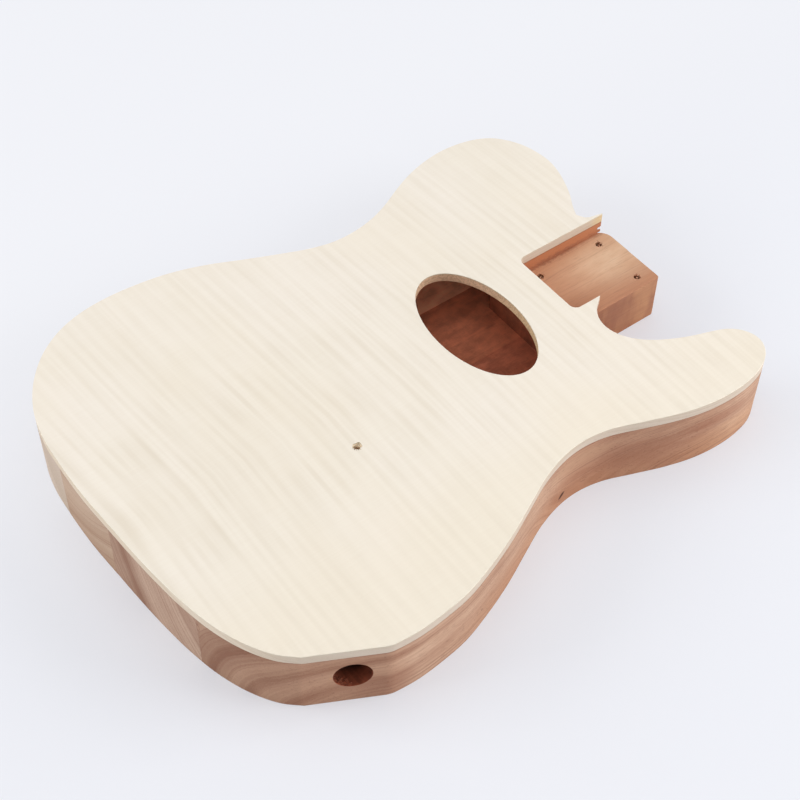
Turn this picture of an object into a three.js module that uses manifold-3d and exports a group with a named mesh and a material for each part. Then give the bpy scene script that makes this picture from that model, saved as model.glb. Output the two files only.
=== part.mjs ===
// Bare body of a single-cutaway electric guitar with an oval sound hole: four
// mahogany boards glued edge to edge, routed out from above, under a pale top
// board in two halves and a book-matched face veneer. Millimetres, +Z up out of
// the face, +X towards the neck, +Y towards the bass side.
import * as THREE from 'three';
import { mergeVertices } from 'three/addons/utils/BufferGeometryUtils.js';
import Module from 'manifold-3d';

const wasm = await Module();
wasm.setup();

// Overall sizes
const bodyLength = 402;
const bodyWidth = 315;
const coreThickness = 43.8;
const topBoardThickness = 6.2;
const veneerThickness = 0.6;

// Boards of the core and halves of the top, as places across the body
const coreJointShares = [0.184, 0.01, -0.246];
const seamOffset = -5;

// Neck pocket and its screws
const pocketLength = 76;
const pocketWidth = 56;
const pocketDepth = 16;
const pocketCornerRadius = 5;
const shoulderOverhang = 3;
const pocketLip = 1;
const heelCornerRadius = 5;
const neckScrewHole = 4.5;
const neckScrewSpacingAlong = 51;
const neckScrewSpacingAcross = 38;
const neckScrewSetback = 12;

// Sound hole, an oval across the body
const soundHoleWidth = 100;
const soundHoleLength = 58;
const soundHoleFromPocket = 57.5;

// Saddle line of the bridge, and the pickup wire's hole at its treble end
const saddleFromPocket = 176.5;
const wireHoleOffset = 36.3;
const wireHole = 5;

// Hollow of the core
const wallThickness = 18;
const floorThickness = 8;
const pocketSideWall = 8;
const pocketEndWall = 15;
const bridgeBlockWidth = 60;
const bridgeBlockLead = 25;
const hollowStartShare = 0.055;
const hollowEndShare = 0.47;
const insetShare = 0.998;

// Jack bore, square to its flat and at half the body's height
const jackBore = 22;
const jackPlaceShare = 0.57;

// Fineness of curves and how far a cutter runs past the wood
const curveStep = 3.2;
const arcStep = 1;
const leastArcSteps = 4;
const boreSides = 40;
const smallHoleSides = 20;
const ovalSides = 96;
const cutterOverrun = 12;

// The edge of the body as places along it from the tail, in shares of its
// length, and across it from the centreline, in shares of its width. At the
// shoulder and in the cutaway the second share is instead of the way from the
// side of the heel to half the width.
const shoulderShares = [
  [0.949, 0.0685], [0.9575, 0.125], [0.9725, 0.2034], [0.985, 0.289], [0.995, 0.381],
  [1, 0.4755],
];
const bassEdgeShares = [
  [0.9975, 0.322], [0.99, 0.359], [0.9765, 0.391], [0.958, 0.418],
  [0.932, 0.4365], [0.9, 0.447], [0.862, 0.45], [0.82, 0.4425], [0.782, 0.4285],
  [0.745, 0.408], [0.708, 0.3845], [0.672, 0.367], [0.632, 0.357], [0.59, 0.3565],
  [0.548, 0.369], [0.5, 0.3935], [0.445, 0.4245], [0.39, 0.4565], [0.335, 0.4795],
  [0.28, 0.4915], [0.225, 0.4955], [0.175, 0.4895], [0.13, 0.4715], [0.09, 0.4405],
  [0.06, 0.4035], [0.036, 0.361], [0.0175, 0.311], [0.006, 0.25], [0.0015, 0.175],
  [0, 0.095], [0.0025, 0.015], [0.0055, -0.065], [0.01, -0.14], [0.018, -0.22],
  [0.031, -0.292], [0.05, -0.353], [0.073, -0.399], [0.0965, -0.4275],
];
const trebleEdgeShares = [
  [0.203, -0.4995], [0.222, -0.5025], [0.25, -0.5045], [0.29, -0.5015], [0.34, -0.4925],
  [0.395, -0.4705], [0.45, -0.4425], [0.505, -0.4085], [0.556, -0.378], [0.602, -0.3605],
  [0.643, -0.356], [0.686, -0.3645], [0.735, -0.388], [0.785, -0.412], [0.835, -0.429],
  [0.883, -0.435], [0.922, -0.432], [0.955, -0.4215], [0.979, -0.4025], [0.992, -0.379],
  [0.994, -0.3545], [0.985, -0.328], [0.968, -0.308], [0.944, -0.2945], [0.914, -0.2805],
  [0.881, -0.2605], [0.854, -0.238],
];
const cutawayShares = [
  [0.834, 0.2995], [0.8225, 0.2338], [0.819, 0.1657], [0.8235, 0.1049], [0.8345, 0.055],
  [0.857, 0],
];
const notchShares = [0.9575, 0.0218];

// Places that follow from the sizes
const bodyHeight = coreThickness + topBoardThickness + veneerThickness;
const faceHeight = coreThickness + topBoardThickness;
const heelEnd = bodyLength - shoulderOverhang;
const pocketEnd = heelEnd - pocketLength;
const pocketHalf = pocketWidth / 2;
const heelBassSide = pocketHalf + pocketLip;
const pocketFloor = bodyHeight - pocketDepth;
const soundHoleCentre = pocketEnd - soundHoleFromPocket;
const saddleLine = pocketEnd - saddleFromPocket;
const neckBlockEnd = pocketEnd - pocketEndWall;
const neckBlockSide = pocketHalf + pocketSideWall;
const jointPlaces = coreJointShares.map((share) => share * bodyWidth);

// Points of the edge from their shares
function edgePoint([alongShare, acrossShare]) {
  return new THREE.Vector3(alongShare * bodyLength, acrossShare * bodyWidth, 0);
}

function shoulderPoint([alongShare, acrossShare]) {
  const across = THREE.MathUtils.lerp(heelBassSide, bodyWidth / 2, acrossShare);
  return new THREE.Vector3(alongShare * bodyLength, across, 0);
}

function cutawayPoint([alongShare, acrossShare]) {
  const across = THREE.MathUtils.lerp(pocketHalf, bodyWidth / 2, acrossShare);
  return new THREE.Vector3(alongShare * bodyLength, -across, 0);
}

// Points about a step apart on the smooth curve through the given points
function smoothPoints(points) {
  const curve = new THREE.CatmullRomCurve3(points, false, 'centripetal');
  const count = Math.round(curve.getLength() / curveStep);
  return curve.getSpacedPoints(count).map((point) => new THREE.Vector2(point.x, point.y));
}

// Points of an arc from one angle to another
function arcPoints(centre, radius, startAngle, endAngle) {
  const arc = new THREE.ArcCurve(centre.x, centre.y, radius, startAngle, endAngle);
  const arcLength = radius * (endAngle - startAngle);
  return arc.getPoints(Math.max(leastArcSteps, Math.round(arcLength / arcStep)));
}

const bassCurve = smoothPoints([
  ...shoulderShares.map(shoulderPoint),
  ...bassEdgeShares.map(edgePoint),
]);
const trebleCurve = smoothPoints([
  ...trebleEdgeShares.map(edgePoint),
  ...cutawayShares.map(cutawayPoint),
]);

// The heel's square end with its rounded bass corner, then the small hollow
// between the heel and the bass shoulder
const heelCorner = new THREE.Vector2(heelEnd - heelCornerRadius, heelBassSide - heelCornerRadius);
const notchCurve = smoothPoints([
  new THREE.Vector3(heelCorner.x, heelBassSide, 0),
  shoulderPoint(notchShares),
  shoulderPoint(shoulderShares[0]),
]);
const heelPoints = [
  new THREE.Vector2(heelEnd, -pocketHalf),
  ...arcPoints(heelCorner, heelCornerRadius, 0, Math.PI / 2),
  ...notchCurve.slice(1, -1),
];
const edgePoints = [...bassCurve, ...trebleCurve, ...heelPoints];

// The inside of the wall: the edge moved in by the wall's thickness, without
// the points that a corner of the edge would bring nearer to it than that
function insetPoints(points, distance) {
  const moved = points.map((point, index) => {
    const before = points[Math.max(index - 1, 0)];
    const after = points[Math.min(index + 1, points.length - 1)];
    const run = new THREE.Vector2().subVectors(after, before).normalize();
    return new THREE.Vector2(point.x - run.y * distance, point.y + run.x * distance);
  });
  const least = distance * insetShare;
  return moved.filter((inner) => points.every((outer) => inner.distanceTo(outer) > least));
}

// Solids
function asSolid(geometry) {
  const plain = geometry.clone();
  plain.deleteAttribute('normal');
  plain.deleteAttribute('uv');
  const merged = mergeVertices(plain);
  return new wasm.Manifold(new wasm.Mesh({
    numProp: 3,
    vertProperties: merged.attributes.position.array,
    triVerts: new Uint32Array(merged.index.array),
  }));
}

// A prism on an outline, between two heights
function prism(points, bottom, top) {
  const settings = { depth: top - bottom, bevelEnabled: false };
  const geometry = new THREE.ExtrudeGeometry(new THREE.Shape(points), settings);
  geometry.translate(0, 0, bottom);
  return asSolid(geometry);
}

// A block from its low and high corners
function block(low, high) {
  const geometry = new THREE.BoxGeometry(high[0] - low[0], high[1] - low[1], high[2] - low[2]);
  geometry.translate((low[0] + high[0]) / 2, (low[1] + high[1]) / 2, (low[2] + high[2]) / 2);
  return asSolid(geometry);
}

// An upright round cutter
function uprightCutter(x, y, diameter, bottom, top) {
  const radius = diameter / 2;
  const geometry = new THREE.CylinderGeometry(radius, radius, top - bottom, smallHoleSides);
  geometry.rotateX(Math.PI / 2);
  geometry.translate(x, y, (bottom + top) / 2);
  return asSolid(geometry);
}

// The neck pocket: square at the heel's end, rounded at its two inner corners
function pocketCutter() {
  const cornerX = pocketEnd + pocketCornerRadius;
  const cornerY = pocketHalf - pocketCornerRadius;
  const bassCorner = new THREE.Vector2(cornerX, cornerY);
  const trebleCorner = new THREE.Vector2(cornerX, -cornerY);
  const points = [
    new THREE.Vector2(heelEnd + cutterOverrun, pocketHalf),
    ...arcPoints(bassCorner, pocketCornerRadius, Math.PI / 2, Math.PI),
    ...arcPoints(trebleCorner, pocketCornerRadius, Math.PI, Math.PI * 3 / 2),
    new THREE.Vector2(heelEnd + cutterOverrun, -pocketHalf),
  ];
  return prism(points, pocketFloor, bodyHeight + cutterOverrun);
}

function soundHoleCutter() {
  const oval = new THREE.EllipseCurve(soundHoleCentre, 0, soundHoleLength / 2, soundHoleWidth / 2);
  const points = oval.getPoints(ovalSides).slice(0, -1);
  return prism(points, coreThickness - cutterOverrun, bodyHeight + cutterOverrun);
}

// The wire's hole through the top, at the treble end of the saddle line
function wireCutter() {
  const bottom = coreThickness - cutterOverrun;
  return uprightCutter(saddleLine, -wireHoleOffset, wireHole, bottom, bodyHeight + cutterOverrun);
}

function neckScrewCutters() {
  const nearHeel = heelEnd - neckScrewSetback;
  const places = [nearHeel, nearHeel - neckScrewSpacingAlong].flatMap((x) => [
    [x, neckScrewSpacingAcross / 2],
    [x, -neckScrewSpacingAcross / 2],
  ]);
  return places.map(([x, y]) => uprightCutter(x, y, neckScrewHole, -cutterOverrun, bodyHeight));
}

// The hollow under the top: it follows the edge at the wall's thickness,
// round the neck block and on both sides of the block that carries the bridge
function hollowCutter() {
  const bassStart = Math.round(bassCurve.length * hollowStartShare);
  const trebleEnd = Math.round(trebleCurve.length * hollowEndShare);
  const edge = [...bassCurve.slice(bassStart), ...trebleCurve.slice(0, trebleEnd)];
  const top = coreThickness + cutterOverrun;
  const hollow = prism(insetPoints(edge, wallThickness), floorThickness, top);
  const neckBlock = block([neckBlockEnd, -bodyWidth, 0], [bodyLength, neckBlockSide, top]);
  const bridgeBlock = block(
    [0, -bridgeBlockWidth / 2, 0],
    [saddleLine + bridgeBlockLead, bridgeBlockWidth / 2, top],
  );
  return hollow.subtract(neckBlock).subtract(bridgeBlock);
}

// The jack bore, square to the flat between the bass and treble curves
function jackCutter() {
  const start = bassCurve[bassCurve.length - 1];
  const end = trebleCurve[0];
  const mouth = new THREE.Vector2().lerpVectors(start, end, jackPlaceShare);
  const inward = new THREE.Vector2(start.y - end.y, end.x - start.x).normalize();
  const length = wallThickness + cutterOverrun * 2;
  const geometry = new THREE.CylinderGeometry(jackBore / 2, jackBore / 2, length, boreSides);
  geometry.rotateZ(Math.atan2(inward.y, inward.x) - Math.PI / 2);
  const middle = mouth.clone().addScaledVector(inward, length / 2 - cutterOverrun);
  geometry.translate(middle.x, middle.y, bodyHeight / 2);
  return asSolid(geometry);
}

// A solid cut down to the boards between parallel joints, bass side first
function splitBoards(solid, joints) {
  const limits = [bodyWidth, ...joints, -bodyWidth];
  return limits.slice(1).map((low, index) => solid.intersect(
    block([-bodyLength, low, -bodyHeight], [bodyLength * 2, limits[index], bodyHeight * 2]),
  ));
}

// Materials
const sandedMaple = { roughness: 0.62, metalness: 0 };
const sandedMahogany = { roughness: 0.72, metalness: 0 };
const veneerBass = new THREE.MeshStandardMaterial({ color: 0xf0e4d0, ...sandedMaple });
const veneerTreble = new THREE.MeshStandardMaterial({ color: 0xf0e3d2, ...sandedMaple });
const topBoardWood = new THREE.MeshStandardMaterial({ color: 0xccbca8, ...sandedMaple });
const coreWoodLight = new THREE.MeshStandardMaterial({ color: 0xc39a86, ...sandedMahogany });
const coreWoodTan = new THREE.MeshStandardMaterial({ color: 0xb58b6f, ...sandedMahogany });
const coreWoodRed = new THREE.MeshStandardMaterial({ color: 0xa8765f, ...sandedMahogany });
const coreWoodDark = new THREE.MeshStandardMaterial({ color: 0x9c6c55, ...sandedMahogany });

// A named mesh from a solid
function meshOf(name, solid, material) {
  const shell = solid.getMesh();
  const geometry = new THREE.BufferGeometry();
  geometry.setAttribute('position', new THREE.BufferAttribute(shell.vertProperties, 3));
  geometry.setIndex(new THREE.BufferAttribute(shell.triVerts, 1));
  geometry.computeVertexNormals();
  const mesh = new THREE.Mesh(geometry, material.clone());
  mesh.name = name;
  return mesh;
}

const pocket = pocketCutter();
const soundHole = soundHoleCutter();
const wireBore = wireCutter();

// One layer of the top: the whole face with its sound hole, pocket and wire hole
function topLayer(bottom, top) {
  return prism(edgePoints, bottom, top).subtract(soundHole).subtract(pocket).subtract(wireBore);
}

function coreSolid() {
  const blank = prism(edgePoints, 0, coreThickness);
  const cutters = [pocket, hollowCutter(), jackCutter(), ...neckScrewCutters()];
  return cutters.reduce((solid, cutter) => solid.subtract(cutter), blank);
}

const veneerHalves = splitBoards(topLayer(faceHeight, bodyHeight), [seamOffset]);
const topBoardHalves = splitBoards(topLayer(coreThickness, faceHeight), [seamOffset]);
const coreBoards = splitBoards(coreSolid(), jointPlaces);

// The origin is under the middle of the body, on the plane of its back
const edgeBox = new THREE.Box2().setFromPoints(edgePoints);
const edgeMiddle = edgeBox.getCenter(new THREE.Vector2());

const guitarBody = new THREE.Group();
guitarBody.add(
  meshOf('flame_veneer_bass', veneerHalves[0], veneerBass),
  meshOf('flame_veneer_treble', veneerHalves[1], veneerTreble),
  meshOf('top_board_bass', topBoardHalves[0], topBoardWood),
  meshOf('top_board_treble', topBoardHalves[1], topBoardWood),
  meshOf('core_board_bass_outer', coreBoards[0], coreWoodLight),
  meshOf('core_board_bass_inner', coreBoards[1], coreWoodTan),
  meshOf('core_board_treble_inner', coreBoards[2], coreWoodRed),
  meshOf('core_board_treble_outer', coreBoards[3], coreWoodDark),
);
guitarBody.position.set(-edgeMiddle.x, -edgeMiddle.y, 0);

export default guitarBody;
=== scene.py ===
"""Bare single-cutaway guitar body: a flamed maple face over four glued
mahogany boards, lying on its back on a pale table under soft studio light."""
import math
import random

import bpy
from mathutils import Matrix, Vector


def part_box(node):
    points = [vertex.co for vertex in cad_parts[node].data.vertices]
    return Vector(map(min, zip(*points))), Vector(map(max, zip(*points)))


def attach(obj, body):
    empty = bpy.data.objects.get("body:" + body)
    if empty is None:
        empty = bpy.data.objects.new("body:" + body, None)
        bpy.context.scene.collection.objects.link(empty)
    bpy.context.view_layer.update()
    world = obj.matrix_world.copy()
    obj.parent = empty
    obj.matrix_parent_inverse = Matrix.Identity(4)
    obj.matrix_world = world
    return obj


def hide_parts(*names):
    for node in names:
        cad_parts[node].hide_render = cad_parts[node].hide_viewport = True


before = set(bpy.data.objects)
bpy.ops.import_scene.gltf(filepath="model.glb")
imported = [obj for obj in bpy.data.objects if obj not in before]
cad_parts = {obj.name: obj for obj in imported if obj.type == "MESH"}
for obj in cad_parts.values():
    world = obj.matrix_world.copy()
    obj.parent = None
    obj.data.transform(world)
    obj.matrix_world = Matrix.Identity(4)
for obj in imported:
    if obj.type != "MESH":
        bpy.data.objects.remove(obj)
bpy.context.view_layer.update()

MM = 0.001

# Heights of the layers and the lines between them, from the CAD nodes
CORE_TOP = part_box("core_board_bass_outer")[1].z
FACE_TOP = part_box("flame_veneer_bass")[1].z
SEAM_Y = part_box("flame_veneer_bass")[0].y
HEEL_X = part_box("core_board_bass_inner")[1].x
JOINT_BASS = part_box("core_board_bass_outer")[0].y
JOINT_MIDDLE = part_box("core_board_bass_inner")[0].y
JOINT_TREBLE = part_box("core_board_treble_inner")[0].y
JOINTS_Y = (JOINT_BASS, JOINT_MIDDLE, JOINT_TREBLE)

# Neck pocket, holes and bore, in the same places as the CAD
CENTRE_Y = 1.43 * MM
POCKET_END_X = 122 * MM
POCKET_HALF = 28 * MM
POCKET_WALL_Y = 29.4 * MM
POCKET_FLOOR = 34.6 * MM
CHAMBER_FLOOR = 8 * MM
SCREW_HOLES = [
    Vector((x * MM, CENTRE_Y + side * 19 * MM, POCKET_FLOOR))
    for x, side in ((186, 1), (186, -1), (135, 1), (135, -1))
]
SCREW_RADIUS = 2.25 * MM
WIRE_HOLE = Vector((-54.5 * MM, CENTRE_Y - 36.3 * MM, FACE_TOP))
WIRE_RADIUS = 2.5 * MM
SOUND_HOLE = Vector((64.5 * MM, CENTRE_Y, CORE_TOP))
JACK_MOUTH = Vector((-137.8 * MM, -146.16 * MM, 25.3 * MM))
JACK_INWARD = Vector((0.4681, 0.8837, 0))
BORE_SIDE = Vector((-JACK_INWARD.y, JACK_INWARD.x, 0))
JACK_RADIUS = 11 * MM
BORE_LENGTH = 40 * MM
BORE_HEIGHTS = (13 * MM, 38 * MM)
HEEL_HALF = 32 * MM
FLAT_CORNER = Vector((-119.4, -155.9)) * MM

# Where edges stay rough: the lip at the tip of the pocket's wall, and round the holes
LIP_LENGTH = 16 * MM
LIP_FROM_CENTRE = 22 * MM
LIP_BOTTOM = 33 * MM
TORN_REACH = 5 * MM

# The heel's rounded corner and the broken tip of the pocket's wall, in millimetres
HEEL_ROUND = 10
HEEL_BASS_SIDE = 29
UNDER_THE_LIP = 34.62
TIP_X = 195.2
TIP_BLOCK_X = 200
TIP_BLOCK_Y = (28, 34)

# The splintered place at the treble joint, and the small marks on the treble side: their
# places, lengths and widths in millimetres, strengths and colours
BURR = Vector((-192, -76.7, 36)) * MM
SMALL_MARKS = (
    (Vector((42.3, -111.9, 9.6)) * MM, 3.9, 1.8, 0.95, "4a291d"),
    (Vector((-50.05, -149.5, 14.5)) * MM, 0.9, 0.9, 0.6, "4f2a1d"),
    (Vector((-148.6, -141.5, 25)) * MM, 1.1, 0.7, 0.55, "d79f74"),
)

# How near points are to be merged, how flat a fold is to be joined up, how far edges are
# rounded over, and from what angle a fold is an edge
MERGE_GAP = 0.005 * MM
FLAT_ANGLE = math.radians(0.05)
CORNER_ROUND = 2.6 * MM
HEEL_CORNER_ROUND = 2.2 * MM
CORNER_STEPS = 4
CORE_EASE = 0.45 * MM
VENEER_EASE = 0.22 * MM
SHARP_ANGLE = math.radians(40)
SMOOTH_ANGLE = math.radians(20)

# The tone that weak growth rings fade to, plain shades that the woods are mixed with, and the
# bore's painted shade
MIDDLE_TONE = 0.45
BLACK = (0, 0, 0, 1)
BORE_SHADE = (0.004, 0.001, 0.001, 1)
STAIN = (0.86, 0.77, 0.72, 1)
SIDE_ON_SHADE = (0.9, 0.875, 0.9, 1)

# The table, the room's light and how bright the room looks, and the camera, which looks
# down on the treble side of the tail
TABLE_SIZE = 12
TABLE_DROP = 0.1 * MM
BACK_GAP = 0.8 * MM
ROOM_COLOUR = (0.95, 0.97, 1.0, 1.0)
ROOM_LIGHT = 0.5
ROOM_SEEN = 0.95
CAMERA_PLACE = (-0.40219, -0.52506, 0.79469)
CAMERA_RIGHT = Vector((0.79886, -0.60141, 0.01142))
CAMERA_UP = Vector((0.45092, 0.61130, 0.65037))
CAMERA_BACK = Vector((-0.39812, -0.51440, 0.75953))
CAMERA_LENS = 73.305
CAMERA_SENSOR = 36
CAMERA_REACH = 20


# Plain helpers


def srgb(code):
    """A colour written as six hex digits, as the shader's linear numbers."""
    parts = [int(code[i : i + 2], 16) / 255 for i in (0, 2, 4)]
    linear = [p / 12.92 if p <= 0.04045 else ((p + 0.055) / 1.055) ** 2.4 for p in parts]
    return (*linear, 1.0)


def only(piece):
    """Selects one piece alone and makes it the active one."""
    bpy.ops.object.select_all(action="DESELECT")
    piece.select_set(True)
    bpy.context.view_layer.objects.active = piece


def select_edges(piece, wanted):
    """Selects the edges of a piece that a test picks, and nothing else."""
    only(piece)
    bpy.ops.object.mode_set(mode="EDIT")
    bpy.ops.mesh.select_mode(type="EDGE")
    bpy.ops.mesh.select_all(action="DESELECT")
    bpy.ops.object.mode_set(mode="OBJECT")
    mesh = piece.data
    normals = {}
    for face in mesh.polygons:
        for key in face.edge_keys:
            normals.setdefault(key, []).append(face.normal.copy())
    for edge in mesh.edges:
        a, b = (mesh.vertices[i].co for i in edge.vertices)
        sides = normals.get(tuple(sorted(edge.vertices)), [])
        if len(sides) == 2 and wanted(a, b, sides):
            edge.select = True


def near(value, place, slack=0.02 * MM):
    return abs(value - place) < slack


# Shader node groups


class Graph:
    """A node tree, or a group, that is filled node by node."""

    def __init__(self, tree):
        self.tree = tree

    def plug(self, socket, value):
        if isinstance(value, bpy.types.NodeSocket):
            self.tree.links.new(value, socket)
        else:
            socket.default_value = value

    def node(self, kind, sockets=None, **settings):
        made = self.tree.nodes.new(kind)
        for name, value in settings.items():
            setattr(made, name, value)
        for name, value in (sockets or {}).items():
            self.plug(made.inputs[name], value)
        return made

    def math(self, operation, a, b=0.0, c=0.0, clamp=False):
        made = self.node("ShaderNodeMath", operation=operation, use_clamp=clamp)
        for socket, value in zip(made.inputs, (a, b, c)):
            self.plug(socket, value)
        return made.outputs[0]

    def times(self, a, b):
        return self.math("MULTIPLY", a, b)

    def minus(self, a, b):
        return self.math("SUBTRACT", a, b)

    def apart(self, a, b):
        """How far two values are from each other."""
        return self.math("ABSOLUTE", self.minus(a, b))

    def swayed(self, value, by, amount, middle=0.5):
        """A value that rises and falls with another's distance from its middle."""
        return self.math("MULTIPLY_ADD", self.minus(by, middle), amount, value)

    def joined(self, x, y, z):
        made = self.node("ShaderNodeCombineXYZ", {"X": x, "Y": y, "Z": z})
        return made.outputs[0]

    def parts(self, vector):
        return self.node("ShaderNodeSeparateXYZ", {"Vector": vector}).outputs

    def between(self, a, b):
        """The distance between two places."""
        made = self.node("ShaderNodeVectorMath", operation="DISTANCE")
        self.plug(made.inputs[0], a)
        self.plug(made.inputs[1], b)
        return made.outputs["Value"]

    def noise(self, vector, scale, detail=2.0, roughness=0.5):
        sockets = {"Vector": vector, "Scale": scale, "Detail": detail, "Roughness": roughness}
        return self.node("ShaderNodeTexNoise", sockets).outputs["Fac"]

    def mapped(self, vector, scale=(1, 1, 1), location=(0, 0, 0)):
        sockets = {"Vector": vector, "Scale": scale, "Location": location}
        return self.node("ShaderNodeMapping", sockets).outputs["Vector"]

    def ramp(self, value, low, high, to_low=0.0, to_high=1.0):
        sockets = {
            "Value": value, "From Min": low, "From Max": high, "To Min": to_low, "To Max": to_high,
        }
        made = self.node("ShaderNodeMapRange", sockets, interpolation_type="SMOOTHSTEP")
        return made.outputs["Result"]

    def steps(self, value, tones):
        """A run of grey tones along a value from 0 to 1."""
        made = self.node("ShaderNodeValToRGB", {"Fac": value})
        band = made.color_ramp
        band.interpolation = "EASE"
        for place, tone in tones[1:-1]:
            band.elements.new(place).color = (tone, tone, tone, 1)
        for end in (0, -1):
            place, tone = tones[end]
            band.elements[end].position = place
            band.elements[end].color = (tone, tone, tone, 1)
        return made.outputs["Color"]

    def mix(self, factor, a, b, blend="MIX"):
        made = self.node("ShaderNodeMix", data_type="RGBA", blend_type=blend)
        # its colours are the seventh and eighth sockets
        for number, value in ((0, factor), (6, a), (7, b)):
            self.plug(made.inputs[number], value)
        return made.outputs[2]

    def use(self, group, **sockets):
        made = self.node("ShaderNodeGroup", node_tree=group)
        for name, value in sockets.items():
            self.plug(made.inputs[name.replace("_", " ")], value)
        return made.outputs


VECTOR = "NodeSocketVector"
FLOAT = "NodeSocketFloat"


def new_group(name, inputs, outputs):
    """An empty shader node group with named inputs and outputs."""
    group = bpy.data.node_groups.new(name, "ShaderNodeTree")
    for socket_name, kind, value in inputs:
        socket = group.interface.new_socket(name=socket_name, in_out="INPUT", socket_type=kind)
        if value is not None:
            socket.default_value = value
    for socket_name in outputs:
        group.interface.new_socket(name=socket_name, in_out="OUTPUT", socket_type=FLOAT)
    start = group.nodes.new("NodeGroupInput")
    end = group.nodes.new("NodeGroupOutput")
    return group, Graph(group), start.outputs, end.inputs


def figure_group():
    """The flame across a maple veneer, mirrored at the seam, with its faint fibres."""
    group, g, given, out = new_group(
        "maple_figure",
        [("Position", VECTOR, None), ("Side", FLOAT, 1.0), ("Seam", FLOAT, 0.0),
         ("Lean", FLOAT, 0.1), ("Seed", FLOAT, 0.0)],
        ["Flame", "Blush", "Fibre"],
    )
    place = g.parts(given["Position"])
    across = g.times(g.minus(place["Y"], given["Seam"]), given["Side"])
    flat = g.joined(place["X"], across, given["Seed"])
    slow = g.noise(g.mapped(flat, (5, 4, 1)), 1.0, 1.0)
    leaned = g.math("MULTIPLY_ADD", across, given["Lean"], place["X"])
    leaned = g.math("MULTIPLY_ADD", slow, 0.006, leaned)
    lines = g.joined(leaned, across, given["Seed"])
    # a wave about 8 mm long whose spacing drifts, with finer lines laid along it,
    # and patches where each of them fades
    drift = g.noise(g.mapped(lines, (24, 2, 1)), 1.0, 1.0)
    turns = g.math("MULTIPLY_ADD", leaned, 122.0, g.times(drift, 2.6))
    wave = g.ramp(g.math("SINE", g.times(turns, math.tau)), -0.6, 1.0)
    broad = g.ramp(g.noise(g.mapped(lines, (150, 5, 1), (1.7, 0.2, 0)), 1.0, 2.0), 0.34, 0.7)
    fine = g.ramp(g.noise(g.mapped(lines, (410, 8, 1), (3.1, 0.4, 0)), 1.0, 0.0), 0.3, 0.7)
    flame = 0.0
    for line, amount, start in ((wave, 0.44, 0.3), (broad, 0.4, 2.3), (fine, 0.36, 5.1)):
        patch = g.noise(g.mapped(lines, (34, 24, 1), (start, 0.7, 0)), 1.0, 1.0)
        line = g.times(line, g.ramp(patch, 0.3, 0.68, 0.25 * amount, amount))
        flame = g.math("ADD", line, flame, clamp=True)
    flame = g.times(flame, g.ramp(place["X"], -0.17, -0.06, 1.15, 1.0))
    # it is weaker on the treble side, but less so on the horn
    low = g.times(g.ramp(place["Y"], -0.09, -0.03, 0.45, 0.0),
                  g.ramp(place["X"], 0.09, 0.14, 1.0, 0.2))
    flame = g.times(flame, g.minus(1.0, low))
    flame = g.times(flame, g.ramp(place["Y"], 0.03, 0.09, 1.0, 0.65))
    g.plug(out["Flame"], flame)
    blush = g.noise(g.mapped(flat, (11, 5, 1), (4.1, 2.2, 0)), 1.0, 3.0, 0.55)
    g.plug(out["Blush"], g.ramp(blush, 0.4, 0.72))
    fibre = g.noise(g.mapped(flat, (45, 900, 1)), 1.0, 3.0, 0.6)
    g.plug(out["Fibre"], g.ramp(fibre, 0.3, 0.7))
    return group


def growth_group():
    """Growth rings: how far a place is from the pith, with finer rings and lines between."""
    group, g, given, out = new_group(
        "growth_rings",
        [("Position", VECTOR, None), ("Pith", VECTOR, (0, 0, 0)), ("Waver", FLOAT, 0.006),
         ("Seed", FLOAT, 0.0)],
        ["Radius", "Rings", "Lines", "Grain", "Cloud"],
    )
    place = g.parts(given["Position"])
    heart = g.parts(given["Pith"])
    radius = g.between(
        g.joined(0.0, place["Y"], place["Z"]), g.joined(0.0, heart["Y"], heart["Z"])
    )
    warp = g.noise(g.mapped(given["Position"], (7, 13, 13), (0.7, 0.2, 0.5)), 1.0, 2.0)
    radius = g.swayed(radius, warp, given["Waver"])
    g.plug(out["Radius"], radius)
    along = g.times(place["X"], 4.0)
    broad = g.joined(along, g.times(radius, 210.0), given["Seed"])
    g.plug(out["Rings"], g.noise(broad, 1.0, 4.0, 0.66))
    fine = g.joined(along, g.times(radius, 760.0), given["Seed"])
    g.plug(out["Lines"], g.ramp(g.noise(fine, 1.0, 2.0, 0.6), 0.56, 0.68))
    streak = g.times(place["X"], 40.0)
    ragged = g.noise(given["Position"], 420.0, 2.0)
    across = g.math("MULTIPLY_ADD", radius, 560.0, g.times(ragged, 1.6))
    grain = g.noise(g.joined(streak, across, given["Seed"]), 1.0, 3.0, 0.65)
    g.plug(out["Grain"], g.ramp(grain, 0.34, 0.66))
    cloud = g.noise(g.mapped(given["Position"], (22, 60, 60)), 1.0, 3.0, 0.6)
    g.plug(out["Cloud"], cloud)
    return group


def pores_group():
    """Open pores: short dark dashes along the grain, dots on the end grain."""
    group, g, given, out = new_group(
        "open_pores",
        [("Position", VECTOR, None), ("Fineness", FLOAT, 1700.0), ("Length", FLOAT, 0.1)],
        ["Pore", "Grit"],
    )
    place = g.parts(given["Position"])
    fineness = given["Fineness"]
    drawn_out = g.times(fineness, given["Length"])
    vector = g.joined(
        g.times(place["X"], drawn_out),
        g.times(place["Y"], fineness),
        g.times(place["Z"], fineness),
    )
    g.plug(out["Pore"], g.ramp(g.noise(vector, 1.0, 1.0), 0.6, 0.74))
    g.plug(out["Grit"], g.noise(given["Position"], 2600.0, 2.0, 0.6))
    return group


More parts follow.
